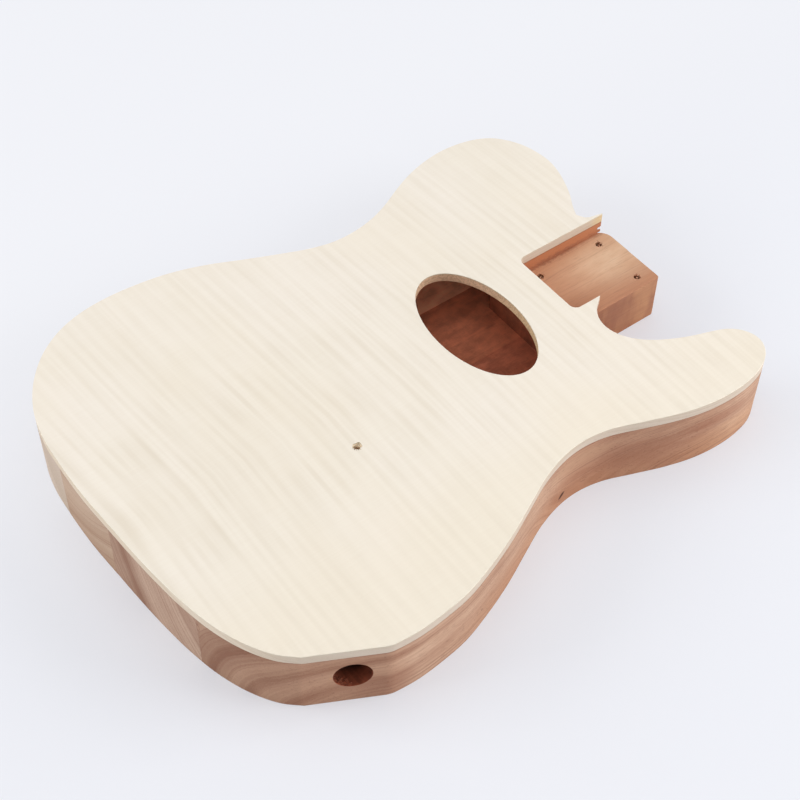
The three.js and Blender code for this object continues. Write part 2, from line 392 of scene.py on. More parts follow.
def joint_group():
    """The dark hairlines of the glue joints, at two seams and under the top board."""
    group, g, given, out = new_group(
        "glue_lines",
        [("Position", VECTOR, None), ("First", FLOAT, 0.0), ("Second", FLOAT, 0.0),
         ("Top", FLOAT, 0.0)],
        ["Line"],
    )
    place = g.parts(given["Position"])
    line = None
    for name, part, width in (("First", "Y", 0.35), ("Second", "Y", 0.35), ("Top", "Z", 0.8)):
        close = g.ramp(g.apart(place[part], given[name]), 0.1 * MM, width * MM, 1.0, 0.0)
        line = close if line is None else g.math("MAXIMUM", line, close)
    patchy = g.ramp(g.noise(given["Position"], 140.0, 2.0), 0.35, 0.65, 0.45, 1.0)
    g.plug(out["Line"], g.times(line, patchy))
    return group


FIGURE = figure_group()
GROWTH = growth_group()
PORES = pores_group()
JOINT = joint_group()


# Materials


def new_material(name, roughness, specular):
    """A material with its shader, and the Object coordinates that its patterns read."""
    material = bpy.data.materials.new(name)
    material.use_nodes = True
    tree = material.node_tree
    shader = tree.nodes["Principled BSDF"]
    shader.inputs["Roughness"].default_value = roughness
    shader.inputs["Specular IOR Level"].default_value = specular
    graph = Graph(tree)
    position = graph.node("ShaderNodeTexCoord").outputs["Object"]
    return material, graph, shader, position


def bump(graph, shader, height, strength, distance):
    sockets = {"Height": height, "Strength": strength, "Distance": distance}
    made = graph.node("ShaderNodeBump", sockets)
    graph.plug(shader.inputs["Normal"], made.outputs["Normal"])


def flamed_maple(name, side, lean, seed):
    """The sanded face veneer: pale cream with a faint flame and fibres."""
    material, g, shader, position = new_material(name, 0.7, 0.12)
    marks = g.use(FIGURE, Position=position, Side=side, Seam=SEAM_Y, Lean=lean, Seed=seed)
    cloud = g.ramp(g.noise(position, 9.0, 2.0), 0.35, 0.65)
    base = g.mix(cloud, srgb("f3eadb"), srgb("f5ecdf"))
    lower = g.ramp(g.parts(position)["Y"], -0.13, -0.05, 0.32, 0.0)
    base = g.mix(lower, base, srgb("f1e4cb"))
    base = g.mix(g.times(marks["Flame"], 0.58), base, srgb("e0d4c1"))
    base = g.mix(g.times(marks["Blush"], 0.3), base, srgb("f1e5cf"))
    base = g.mix(g.times(marks["Fibre"], 0.05), base, srgb("d6bd9f"))
    g.plug(shader.inputs["Base Color"], base)
    g.plug(shader.inputs["Roughness"], g.math("MULTIPLY_ADD", marks["Flame"], -0.08, 0.72))
    bump(g, shader, g.math("MULTIPLY_ADD", marks["Fibre"], 0.6, marks["Flame"]), 0.1, 0.0003)
    return material


def veneer_edge():
    """The thin cut edge of the face, a little darker and greener than the face itself."""
    material, g, shader, position = new_material("veneer_cut_edge", 0.7, 0.2)
    streak = g.noise(g.mapped(position, (60, 60, 900)), 1.0, 3.0)
    base = g.mix(g.ramp(streak, 0.35, 0.65), srgb("d3cab3"), srgb("e2dac4"))
    g.plug(shader.inputs["Base Color"], base)
    return material


def top_board_wood():
    """The pale board under the veneer, seen at its cut edges."""
    material, g, shader, position = new_material("pale_board_cut_edge", 0.68, 0.2)
    rings = g.use(GROWTH, Position=position, Pith=(0, 0.03, -0.4), Waver=0.004, Seed=4.0)
    pores = g.use(PORES, Position=position, Fineness=2400.0, Length=0.08)
    place = g.parts(position)
    tone = g.ramp(rings["Rings"], 0.35, 0.65)
    base = g.mix(tone, srgb("e0d2be"), srgb("d8c8b1"))
    base = g.mix(g.times(rings["Lines"], 0.3), base, srgb("bfa888"))
    base = g.mix(g.times(pores["Pore"], 0.25), base, srgb("ab9074"))
    facing = g.parts(g.node("ShaderNodeTexCoord").outputs["Normal"])["X"]
    side_on = g.minus(1.0, g.times(facing, facing))
    base = g.mix(side_on, base, SIDE_ON_SHADE, "MULTIPLY")
    # painted shade: the router's cut round the sound hole is browner, and speckled with open grain
    # its brown is also a painted reflection of the mahogany inside
    rim = g.ramp(g.between(position, tuple(SOUND_HOLE)), 52 * MM, 54 * MM, 1.0, 0.0)
    speckle = g.ramp(g.noise(g.mapped(position, (500, 900, 700)), 1.0, 2.0, 0.6), 0.42, 0.62)
    rim_shade_and_marks = g.mix(g.ramp(place["Y"], -20 * MM, 30 * MM), srgb("e4c598"), srgb("dfb896"))
    rim_shade_and_marks = g.mix(g.times(speckle, 0.5), rim_shade_and_marks, srgb("a27f5e"))
    scorch = g.noise(g.mapped(position, (170, 170, 420), (0.4, 0, 0)), 1.0, 3.0, 0.6)
    scorch = g.times(g.ramp(scorch, 0.5, 0.68), 0.2)
    rim_shade_and_marks = g.mix(scorch, rim_shade_and_marks, srgb("94745a"))
    base = g.mix(g.times(rim, 0.9), base, rim_shade_and_marks)
    # the tip of the pocket's wall is yellower
    tip = g.between(position, (TIP_X * MM, POCKET_WALL_Y, 47 * MM))
    base = g.mix(g.ramp(tip, 2 * MM, 14 * MM, 0.55, 0.0), base, srgb("e6c88a"))
    # the wire's hole is torn; painted light makes its wall pale, browner lower down
    off = g.between(g.joined(place["X"], place["Y"], 0.0), (WIRE_HOLE.x, WIRE_HOLE.y, 0.0))
    low = g.ramp(place["Z"], 44 * MM, 48 * MM, 1.0, 0.0)
    painted_hole_light = g.mix(low, srgb("f6e4c9"), srgb("dba488"))
    base = g.mix(g.ramp(off, 4 * MM, 5 * MM, 0.9, 0.0), base, painted_hole_light)
    g.plug(shader.inputs["Base Color"], base)
    bump(g, shader, rings["Lines"], 0.15, 0.0002)
    return material


def ring_tone(g, place, rings, bands, along_side, rings_seen, grain, side_grain, inside):
    """How dark the wood is, from 0 to 1, by its growth rings, grain and cloudy patches."""
    first, last = bands[0][0], bands[-1][0]
    span = {"Value": rings["Radius"], "From Min": first * MM, "From Max": last * MM}
    reach = g.node("ShaderNodeMapRange", span).outputs["Result"]
    tone = g.steps(reach, [((r - first) / (last - first), t) for r, t in bands])
    # along the side of the body the bands are weaker than on its end
    strength = g.ramp(place["X"], -0.12, -0.07, 1.0, along_side)
    tone = g.swayed(MIDDLE_TONE, tone, strength, MIDDLE_TONE)
    grain = g.ramp(place["X"], -80 * MM, 20 * MM, grain, side_grain)
    cloud = g.ramp(place["X"], 20 * MM, 90 * MM, 0.4, 0.8)
    for part, amount in (("Rings", rings_seen), ("Grain", grain), ("Cloud", cloud)):
        tone = g.swayed(tone, rings[part], amount)
    if inside:
        tone = g.swayed(MIDDLE_TONE, tone, 0.4, MIDDLE_TONE)
    return g.math("MAXIMUM", g.math("MINIMUM", tone, 1.0), 0.0)


def side_patches(g, base, place, rings, warm_foot, zones, stains):
    """The broad patches of another tone along a board's side."""
    warm = g.times(g.ramp(place["Z"], 3 * MM, 34 * MM, warm_foot, 0.0),
                   g.ramp(place["X"], -90 * MM, -20 * MM))
    base = g.mix(warm, base, srgb("bb7c52"))
    for middle, half, amount, colour in zones:
        # an oval whose edge wanders with the rings and clouds
        far = g.between(g.joined(g.math("DIVIDE", place["X"], half[0] * MM), 0.0,
                                 g.math("DIVIDE", place["Z"], half[1] * MM)),
                        (middle[0] / half[0], 0.0, middle[1] / half[1]))
        far = g.swayed(g.swayed(far, rings["Rings"], 1.6), rings["Cloud"], 2.0)
        base = g.mix(g.ramp(far, 0.45, 1.25, amount, 0.0), base, srgb(colour))
    for centre, half in stains:
        off = g.apart(place["X"], centre * MM)
        stained = g.ramp(off, half * 0.55 * MM, half * MM, 1.0, 0.0)
        base = g.mix(stained, base, STAIN, "MULTIPLY")
    return base


def fresh_cut(g, position, place, facing, rings, tone):
    """The freshly cut heel and pocket, warmer than the sanded sides."""
    # the floor is redder towards the pocket's end, on its treble side and by its wall
    flat = g.math("ABSOLUTE", facing["Z"])
    floor = g.mix(g.ramp(place["X"], 130 * MM, 190 * MM), srgb("cf9370"), srgb("ecc9a7"))
    floor = g.mix(g.ramp(place["Y"], -28 * MM, 2 * MM, 0.95, 0.0), floor, srgb("ad6c4b"))
    floor = g.mix(g.ramp(place["Y"], 10 * MM, 29 * MM, 0.0, 0.6), floor, srgb("bf7f55"))
    floor = g.mix(g.ramp(rings["Cloud"], 0.4, 0.7, 0.0, 0.4), floor, srgb("c78d67"))
    upright = g.noise(g.mapped(position, (60, 420, 14), (0.3, 0.2, 0)), 1.0, 4.0, 0.6)
    side = g.mix(g.ramp(upright, 0.34, 0.66), srgb("bd865e"), srgb("9a6045"))
    side = g.mix(g.ramp(rings["Cloud"], 0.42, 0.66, 0.0, 0.5), side, srgb("9c6143"))
    fresh = g.mix(flat, side, floor)
    grainy = g.times(g.times(tone, flat), 0.28)
    fresh = g.mix(grainy, fresh, srgb("ad7453"))
    # the pocket's wall is the most orange, with a dark line under the top board
    wall = g.times(g.ramp(place["Y"], 27.5 * MM, 29 * MM),
                   g.ramp(place["Z"], 33 * MM, 34 * MM))
    fresh = g.mix(g.times(wall, 0.9), fresh, srgb("b96a3c"))
    under = g.ramp(g.apart(place["Z"], CORE_TOP), 0.3 * MM, 1.3 * MM, 0.6, 0.0)
    under = g.times(wall, under)
    fresh = g.mix(under, fresh, srgb("7d4a2c"))
    # painted shade: a rough dark band runs along the bottom of the wall, at the floor
    foot_shade = g.between(g.joined(0.0, place["Y"], place["Z"]), (0.0, POCKET_WALL_Y, POCKET_FLOOR))
    rough = g.noise(g.mapped(position, (420, 700, 700)), 1.0, 3.0, 0.65)
    foot_shade = g.ramp(g.swayed(foot_shade, rough, 7 * MM), 0.8 * MM, 3.6 * MM, 0.75, 0.0)
    foot_shade = g.times(foot_shade, g.ramp(rings["Cloud"], 0.35, 0.6, 0.5, 1.0))
    return g.mix(foot_shade, fresh, srgb("8f4a2b"))


def bare_inside(g, base, position, place, facing, tint):
    """The bare inside: redder, fuzzy, with the router's marks, painted shade on its upright walls,
    and painted shade down the bore.
    """
    fuzz = g.noise(g.mapped(position, (70, 110, 110), (0.2, 0.6, 0)), 1.0, 4.0, 0.65)
    marks = g.noise(g.mapped(position, (330, 16, 60), (0.5, 0.1, 0)), 1.0, 2.0, 0.6)
    treble_end = g.ramp(place["Y"], -34 * MM, -8 * MM, 1.0, 0.15)
    ridge = g.times(g.ramp(marks, 0.4, 0.6, -0.14, 0.16), treble_end)
    # painted shade: upright faces inside are painted darker than flat ones
    upright_shade = g.ramp(g.math("ABSOLUTE", facing["Z"]), 0.2, 0.8, 0.72, 1.0)
    shade = g.times(g.ramp(fuzz, 0.3, 0.7, 0.76, 1.2), g.math("ADD", ridge, 1.0))
    shade = g.times(shade, upright_shade)
    base = g.mix(1.0, base, (*tint, 1), "MULTIPLY")
    base = g.mix(1.0, base, g.joined(shade, shade, shade), "MULTIPLY")
    # painted shade: the jack's bore is painted darker still down its length
    depth = g.between(position, tuple(JACK_MOUTH))
    bore = g.times(g.ramp(depth, JACK_RADIUS, 18 * MM, 0.24, 1.0),
                   g.ramp(depth, 30 * MM, BORE_LENGTH, 1.0, 0.0))
    return g.mix(bore, base, BORE_SHADE)


def splintered_joint(g, base, position, place):
    """A splintered place at the treble joint, pale with a dark edge."""
    squeezed = g.joined(place["X"], place["Y"], g.times(place["Z"], 0.3))
    off = g.between(squeezed, (BURR.x, BURR.y, BURR.z * 0.3))
    off = g.math("MULTIPLY_ADD", g.noise(position, 900.0, 2.0), 0.0012, off)
    base = g.mix(g.ramp(off, 1.4 * MM, 2.2 * MM, 0.45, 0.0), base, srgb("7a4c38"))
    return g.mix(g.ramp(off, 0.9 * MM, 1.5 * MM, 0.5, 0.0), base, srgb("c9a58a"))


def small_marks(g, base, position, place):
    """The knot by the waist and two specks, drawn out along a slant towards the neck."""
    ragged = g.noise(position, 900.0, 2.0)
    for spot, long, wide, depth, colour in SMALL_MARKS:
        rise = g.minus(place["Z"], spot.z)
        run = g.minus(place["X"], spot.x)
        off = g.between(
            g.joined(g.math("DIVIDE", g.math("ADD", rise, run), math.sqrt(2) * long * MM),
                     g.math("DIVIDE", g.minus(rise, run), math.sqrt(2) * wide * MM),
                     g.math("DIVIDE", g.minus(place["Y"], spot.y), 6 * MM)),
            (0.0, 0.0, 0.0))
        mark = g.ramp(g.math("MULTIPLY_ADD", ragged, 0.5, off), 0.8, 1.3, depth, 0.0)
        base = g.mix(mark, base, srgb(colour))
    return base


def mahogany(name, light, dark, pith, bands, seed, joints, end_grain=0.29, stains=(),
             tint=(1.0, 0.47, 0.35), along_side=1.0, rings_seen=0.95, grain=0.3,
             side_grain=0.3, warm_foot=0.0, zones=(), inside=False):
    """One board of the core, with the bands of its own growth rings."""
    material, g, shader, position = new_material(name, 0.68, 0.25)
    place = g.parts(position)
    facing = g.parts(g.node("ShaderNodeTexCoord").outputs["Normal"])
    heart = (0, pith[0] * MM, pith[1] * MM)
    rings = g.use(GROWTH, Position=position, Pith=heart, Waver=0.007, Seed=seed)
    pores = g.use(PORES, Position=position, Fineness=1500.0, Length=0.07)
    tone = ring_tone(g, place, rings, bands, along_side, rings_seen, grain, side_grain, inside)
    base = g.mix(tone, srgb(light), srgb(dark))
    base = side_patches(g, base, place, rings, warm_foot, zones, stains)
    end = g.times(g.times(facing["X"], facing["X"]), end_grain)
    base = g.mix(end, base, BLACK)
    heel = 0.0
    if "outer" not in name:
        # only the two inner boards reach into the heel, and its back stays as sanded
        heel = g.ramp(place["X"], POCKET_END_X - 12 * MM, POCKET_END_X)
        heel = g.times(heel, g.ramp(facing["Z"], -0.9, -0.4, 0.0, 0.9))
        base = g.mix(heel, base, fresh_cut(g, position, place, facing, rings, tone))
    plain = 0.3 if inside else g.minus(1.0, g.times(heel, 0.6))
    for marks, colour in ((rings["Lines"], "865440"), (pores["Pore"], "744633")):
        seen = g.times(g.times(marks, plain), 0.42)
        base = g.mix(seen, base, srgb(colour))
    base = g.mix(g.times(pores["Grit"], 0.12), base, srgb("d9b79d"))
    if inside:
        base = bare_inside(g, base, position, place, facing, tint)
    else:
        glue = g.use(JOINT, Position=position, First=joints[0], Second=joints[1], Top=CORE_TOP)
        seen = g.times(g.minus(1.0, heel), 0.45)
        base = g.mix(g.times(glue["Line"], seen), base, srgb("7a4630"))
        if name.startswith("mahogany_treble"):
            base = splintered_joint(g, base, position, place)
        if name == "mahogany_treble_outer":
            base = small_marks(g, base, position, place)
    g.plug(shader.inputs["Base Color"], base)
    g.plug(shader.inputs["Roughness"], g.math("MULTIPLY_ADD", tone, -0.08, 0.72))
    height = g.math("MULTIPLY_ADD", pores["Pore"], -0.8, g.times(pores["Grit"], 0.5))
    bump(g, shader, height, 0.5 if inside else 0.25, 0.0002)
    return material


# Pieces dressed from the CAD


def board_from(node, name):
    """A merged copy of a CAD node, its flat faces joined up, that stands for the node."""
    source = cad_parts[node]
    piece = bpy.data.objects.new(name, source.data.copy())
    bpy.context.scene.collection.objects.link(piece)
    piece.data.materials.clear()
    only(piece)
    bpy.ops.object.mode_set(mode="EDIT")
    bpy.ops.mesh.select_all(action="SELECT")
    bpy.ops.mesh.remove_doubles(threshold=MERGE_GAP)
    bpy.ops.mesh.dissolve_limited(angle_limit=FLAT_ANGLE)
    bpy.ops.object.mode_set(mode="OBJECT")
    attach(piece, "root")
    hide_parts(node)
    return piece


def ease(piece, wanted, width, segments=2):
    """Rounds the picked edges over, as sandpaper does."""
    select_edges(piece, wanted)
    bpy.ops.object.mode_set(mode="EDIT")
    bpy.ops.mesh.bevel(offset=width, segments=segments, affect="EDGES", clamp_overlap=True)
    bpy.ops.object.mode_set(mode="OBJECT")


def rough_lump(place, size, seed, turn=0.0):
    """A small jagged lump, used to break a chip out of an edge."""
    dice = random.Random(seed)
    bpy.ops.object.select_all(action="DESELECT")
    bpy.ops.mesh.primitive_ico_sphere_add(subdivisions=2, radius=0.5)
    lump = bpy.context.object
    for point in lump.data.vertices:
        point.co *= dice.uniform(0.72, 1.12)
    lump.scale = size
    lump.rotation_euler = (0, 0, turn)
    lump.location = place
    bpy.ops.object.transform_apply(location=True, rotation=True, scale=True)
    return lump


def chip(piece, lumps):
    """Breaks chips out of a piece with jagged lumps, which are then thrown away."""
    for lump in lumps:
        only(piece)
        cut = piece.modifiers.new("chip", "BOOLEAN")
        cut.operation = "DIFFERENCE"
        cut.solver = "EXACT"
        cut.object = lump
        bpy.ops.object.modifier_apply(modifier=cut.name)
        bpy.data.objects.remove(lump)


def block(low, high):
    """A plain block between two corners, in millimetres."""
    bpy.ops.object.select_all(action="DESELECT")
    bpy.ops.mesh.primitive_cube_add(size=1)
    made = bpy.context.object
    made.scale = [(b - a) * MM for a, b in zip(low, high)]
    made.location = [(a + b) / 2 * MM for a, b in zip(low, high)]
    bpy.ops.object.transform_apply(location=True, rotation=True, scale=True)
    return made


def finish_faces(piece):
    """Smooth sides, with flat faces kept flat."""
    only(piece)
    bpy.ops.object.shade_smooth_by_angle(angle=SMOOTH_ANGLE)
    weighted = piece.modifiers.new("weighted", "WEIGHTED_NORMAL")
    weighted.keep_sharp = True
    bpy.ops.object.modifier_apply(modifier=weighted.name)


def on_glue_line(a, b):
    """Whether an edge lies in a joint between two boards or on the top of the core."""
    if near(a.z, CORE_TOP) and near(b.z, CORE_TOP):
        return True
    return any(near(a.y, y) and near(b.y, y) for y in JOINTS_Y)


def sharp(sides):
    return sides[0].angle(sides[1], 0) > SHARP_ANGLE


def veneer_rim(a, b, sides):
    on_top = near(a.z, FACE_TOP) and near(b.z, FACE_TOP)
    on_seam = near(a.y, SEAM_Y) and near(b.y, SEAM_Y)
    return on_top and not on_seam and sharp(sides) and not torn(a, b)


def torn(a, b):
    """Whether an edge is in one of the torn places, which stay rough."""
    middle = (a + b) / 2
    in_lip = (
        middle.x > HEEL_X - LIP_LENGTH
        and middle.y > CENTRE_Y + LIP_FROM_CENTRE
        and middle.z > LIP_BOTTOM
    )
    holes = SCREW_HOLES + [WIRE_HOLE]
    return in_lip or any((middle - hole).length < TORN_REACH for hole in holes)


def core_rim(a, b, sides):
    return sharp(sides) and not on_glue_line(a, b) and not torn(a, b)


def heel_end_corner(a, b, sides):
    """The upright edge at the heel's treble corner."""
    side = CENTRE_Y - POCKET_HALF
    return all(near(p.x, HEEL_X) and near(p.y, side, 0.1 * MM) for p in (a, b))


def flat_corner(a, b, sides):
    """The upright edge where the jack's flat meets the waist."""
    return all((p.to_2d() - FLAT_CORNER).length < 0.6 * MM for p in (a, b))


def inside_face(mesh, face):
    """Whether a face of a core board is in the chamber or the jack bore."""
    corners = [mesh.vertices[i].co for i in face.vertices]
    low = min(corner.z for corner in corners)
    middle = sum(corners, Vector()) / len(corners)
    from_mouth = middle - JACK_MOUTH
    in_bore = (
        from_mouth.length < BORE_LENGTH
        and abs(from_mouth.dot(BORE_SIDE)) < JACK_RADIUS + 0.1 * MM
        and from_mouth.dot(JACK_INWARD) > 0.3 * MM
    )
    if in_bore:
        return BORE_HEIGHTS[0] < low < BORE_HEIGHTS[1]
    in_heel = middle.x > POCKET_END_X - 1 * MM and abs(middle.y - CENTRE_Y) < HEEL_HALF
    between_floors = CHAMBER_FLOOR - 0.1 * MM < low < POCKET_FLOOR
    return between_floors and not in_heel and face.normal.z > -0.9


# Each board's colours, where its pith is across the body, and its bands: how far each is
# from the pith in millimetres, and how dark it is
BOARDS = {
    "bass_outer": dict(
        node="core_board_bass_outer", slot="mahogany_light", joints=(JOINT_BASS, JOINT_BASS),
        light="cfbeae", dark="bfac98", pith=(190, -60), seed=1.0, end_grain=0.03,
        tint=(1.8, 1.03, 0.76), grain=0.22,
        bands=((30, 0.4), (60, 0.2), (75, 0.7), (90, 0.3), (105, 0.6), (125, 0.1), (140, 0.8),
               (165, 0.4)),
    ),
    "bass_inner": dict(
        node="core_board_bass_inner", slot="mahogany_tan", joints=(JOINT_BASS, JOINT_MIDDLE),
        light="dec0a6", dark="c4a084", pith=(97.7, 176.6), seed=2.0,
        bands=((138, 0.4), (143, 0.35), (150, 0.05), (157, 0.3), (161, 0.25), (166, 0.5),
               (174, 0.8), (179, 0.35), (184, 0.6), (190, 1.0), (200, 0.7)),
    ),
    "treble_inner": dict(
        node="core_board_treble_inner", slot="mahogany_red", joints=(JOINT_MIDDLE, JOINT_TREBLE),
        light="dfbea6", dark="a07259", pith=(-208.3, 98.7), seed=3.0,
        bands=((143, 0.45), (152, 0.45), (156, 0.56), (160, 0.25), (167, 0.17), (171, 0.22),
               (174, 0.45), (178, 0.22), (184, 0.3), (190, 0.0), (196, 0.3), (202, 0.6),
               (208, 1.0), (212, 0.93), (216, 0.62), (220, 0.72), (226, 0.55), (235, 0.45)),
    ),
    "treble_outer": dict(
        node="core_board_treble_outer", slot="mahogany_dark", joints=(JOINT_TREBLE, JOINT_TREBLE),
        light="d2ad92", dark="9d6c52", pith=(-155.6, -12), seed=5.0, stains=((-150, 50), (92, 75)),
        along_side=0.25, rings_seen=0.55, grain=0.26, side_grain=0.32, warm_foot=0.4,
        zones=(((92, 22), (40, 12), 0.36, "9a5c41"), ((142, 30), (26, 5), 0.4, "9a5c41"),
               ((54, 34), (22, 9), 0.6, "cba689"), ((150, 10), (28, 11), 0.25, "d4a983"),
               ((8, 32), (16, 10), 0.4, "cfa78a"), ((-122, 9), (17, 15), 0.4, "945f49")),
        bands=((12, 0.25), (18, 0.2), (24, 0.45), (30, 0.55), (36, 0.2), (42, 0.15), (48, 0.7),
               (54, 0.4), (59, 0.05), (66, 0.5), (73, 1.0), (80, 0.55), (84, 0.65), (92, 0.2),
               (98, 0.3)),
    ),
}


def dress_core_board(name, node, slot, chips=(), **look):
    """A core board with its chips, eased edges and its outer and inner wood."""
    piece = board_from(node, "mahogany_" + name)
    chip(piece, chips)
    ease(piece, flat_corner, CORNER_ROUND, CORNER_STEPS)
    ease(piece, heel_end_corner, HEEL_CORNER_ROUND, CORNER_STEPS)
    ease(piece, core_rim, CORE_EASE)
    finish_faces(piece)
    piece.data.materials.append(mahogany("mahogany_" + name, **look))
    piece.data.materials.append(mahogany("mahogany_" + name + "_inside", inside=True, **look))
    for face in piece.data.polygons:
        face.material_index = 1 if inside_face(piece.data, face) else 0


def around(centre, radius, count, size, seed, squash=0.6):
    """Jagged lumps set round the rim of a hole, each turned its own way."""
    dice = random.Random(seed)
    lumps = []
    for number in range(count):
        angle = math.tau * (number + dice.uniform(-0.3, 0.3)) / count
        out = radius + dice.uniform(-0.1, 0.35) * size
        place = centre + Vector((out * math.cos(angle), out * math.sin(angle), 0))
        wide = size * dice.uniform(0.6, 1.3)
        shape = (wide, wide * dice.uniform(0.4, 0.9), wide * squash)
        lumps.append(rough_lump(place, shape, seed + number, dice.uniform(0, math.pi)))
    return lumps


def wire_hole_chips():
    """The torn rim of the wire's hole, broken out wide on the side towards the neck."""
    lumps = around(WIRE_HOLE, WIRE_RADIUS, 6, 1.4 * MM, 40)
    for along, across, long, wide, deep, seed in (
        (1.5, 0.9, 4.4, 4.0, 6.5, 50),
        (2.1, -0.5, 3.4, 3.2, 5.0, 51),
        (0.4, 1.8, 3.2, 2.4, 5.0, 52),
    ):
        place = WIRE_HOLE + Vector((along, across, 0)) * MM
        lumps.append(rough_lump(place, (long * MM, wide * MM, deep * MM), seed))
    return lumps


def past_the_tip(low, high):
    """What is missing past the broken tip of the pocket's wall, between two heights."""
    return block((TIP_X, TIP_BLOCK_Y[0], low), (TIP_BLOCK_X, TIP_BLOCK_Y[1], high))


EDGE_OF_VENEER = veneer_edge()
PALE_BOARD = top_board_wood()

for half, side, lean, seed in (("bass", 1.0, 0.06, 0.0), ("treble", -1.0, 0.01, 0.03)):
    veneer = board_from("flame_veneer_" + half, "face_veneer_" + half)
    board = board_from("top_board_" + half, "pale_board_" + half)
    for layer in (veneer, board):
        if half == "treble":
            chip(layer, wire_hole_chips())
            ease(layer, flat_corner, CORNER_ROUND, CORNER_STEPS)
        else:
            chip(layer, [past_the_tip(43, 52)])
    ease(veneer, veneer_rim, VENEER_EASE)
    finish_faces(veneer)
    finish_faces(board)
    veneer.data.materials.append(flamed_maple("flamed_maple_" + half, side, lean, seed))
    veneer.data.materials.append(EDGE_OF_VENEER)
    for face in veneer.data.polygons:
        face.material_index = 0 if face.normal.z > 0.3 else 1
    board.data.materials.append(PALE_BOARD)


def screw_chips(side):
    """Torn rims round the two screw holes on one side of the pocket's middle."""
    lumps = []
    for number, hole in enumerate(SCREW_HOLES):
        if (hole.y - CENTRE_Y) * side > 0:
            lumps += around(hole, SCREW_RADIUS, 5, 1.9 * MM, 60 + 10 * number, 0.35)
    return lumps


def heel_corner():
    """What is rounded off the heel's bass corner under the pocket's wall."""
    centre = Vector((HEEL_X / MM - HEEL_ROUND, CENTRE_Y / MM + HEEL_BASS_SIDE - HEEL_ROUND, 0))
    outer = (HEEL_X / MM + 1, centre.y + HEEL_ROUND + 0.8, UNDER_THE_LIP)
    corner = block((centre.x, centre.y, -1), outer)
    bpy.ops.object.select_all(action="DESELECT")
    bpy.ops.mesh.primitive_cylinder_add(
        vertices=72, radius=HEEL_ROUND * MM, depth=90 * MM, location=centre * MM
    )
    chip(corner, [bpy.context.object])
    return corner


def lip_chips():
    """The broken tip of the pocket's bass wall."""
    lumps = [heel_corner(), past_the_tip(33, 45)]
    for x, high, long, tall, seed in (
        (0.2, 37.9, 8.6, 4.0, 80),
        (-0.8, 38.4, 4.8, 2.8, 81),
        (0.8, 36.5, 2.0, 0.9, 82),
        (0.4, 42.0, 0.9, 1.0, 83),
    ):
        place = Vector(((TIP_X + x) * MM, CENTRE_Y + POCKET_HALF + 2 * MM, high * MM))
        lumps.append(rough_lump(place, (long * MM, 12 * MM, tall * MM), seed))
    return lumps


CHIPS = {
    "bass_inner": screw_chips(1) + lip_chips(),
    "treble_inner": screw_chips(-1),
}
for name, look in BOARDS.items():
    dress_core_board(name, chips=CHIPS.get(name, ()), **look)


# Torn fibres that stand in the holes


def fibre(place, along, lengths, widths, most_curl, dice):
    """One torn fibre: a thin tapering sliver that curls off the surface. Its length and
    width are drawn between two limits in millimetres."""
    length = dice.uniform(*lengths) * MM
    width = dice.uniform(*widths) * MM
    curl = dice.uniform(-most_curl, most_curl)
    bpy.ops.object.select_all(action="DESELECT")
    bpy.ops.mesh.primitive_cone_add(
        vertices=5, radius1=width / 2, radius2=width * 0.06, depth=length
    )
    sliver = bpy.context.object
    bpy.ops.object.mode_set(mode="EDIT")
    for cut in (-0.25, 0.0, 0.25):
        bpy.ops.mesh.select_all(action="SELECT")
        bpy.ops.mesh.bisect(plane_co=(0, 0, cut * length), plane_no=(0, 0, 1))
    bpy.ops.object.mode_set(mode="OBJECT")
    for point in sliver.data.vertices:
        up = point.co.z / length + 0.5
        point.co.x += curl * length * up * up + dice.uniform(-0.06, 0.06) * width
        point.co.y = point.co.y * 0.45 + dice.uniform(-0.04, 0.04) * width
        point.co.z += length / 2
    turn = Vector(along).to_track_quat("Z", "X").to_matrix().to_4x4()
    spin = Matrix.Rotation(dice.uniform(0, math.tau), 4, "Z")
    sliver.matrix_world = Matrix.Translation(place) @ turn @ spin
    bpy.ops.object.transform_apply(location=True, rotation=True, scale=True)
    return sliver


def flake(place, size, turn, tilt, seed):
    """A flat torn flake."""
    made = rough_lump(Vector((0, 0, 0)), size, seed)
    only(made)
    made.matrix_world = (
        Matrix.Translation(place) @ Matrix.Rotation(turn, 4, "Z") @ Matrix.Rotation(tilt, 4, "Y")
    )
    bpy.ops.object.transform_apply(location=True, rotation=True, scale=True)
    return made


def bunch(name, fibres, material):
    """Joins some fibres into one piece."""
    bpy.ops.object.select_all(action="DESELECT")
    for piece in fibres:
        piece.select_set(True)
    bpy.context.view_layer.objects.active = fibres[0]
    bpy.ops.object.join()
    piece = bpy.context.object
    piece.name = name
    piece.data.materials.append(material)
    bpy.ops.object.shade_smooth_by_angle(angle=SHARP_ANGLE)
    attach(piece, "root")


def torn_wood(name, light, dark):
    """Broken fibres, paler than the sanded wood round them."""
    material, g, shader, position = new_material(name, 0.8, 0.2)
    streak = g.ramp(g.noise(g.mapped(position, (400, 900, 900)), 1.0, 2.0), 0.35, 0.65)
    g.plug(shader.inputs["Base Color"], g.mix(streak, srgb(light), srgb(dark)))
    return material


TORN_MAHOGANY = torn_wood("torn_mahogany", "d9ab8c", "9a5f45")
TORN_RED = torn_wood("torn_mahogany_inside", "b06a50", "5a2a1c")
TORN_MAPLE = torn_wood("torn_maple", "fbf6ec", "e8dcc6")


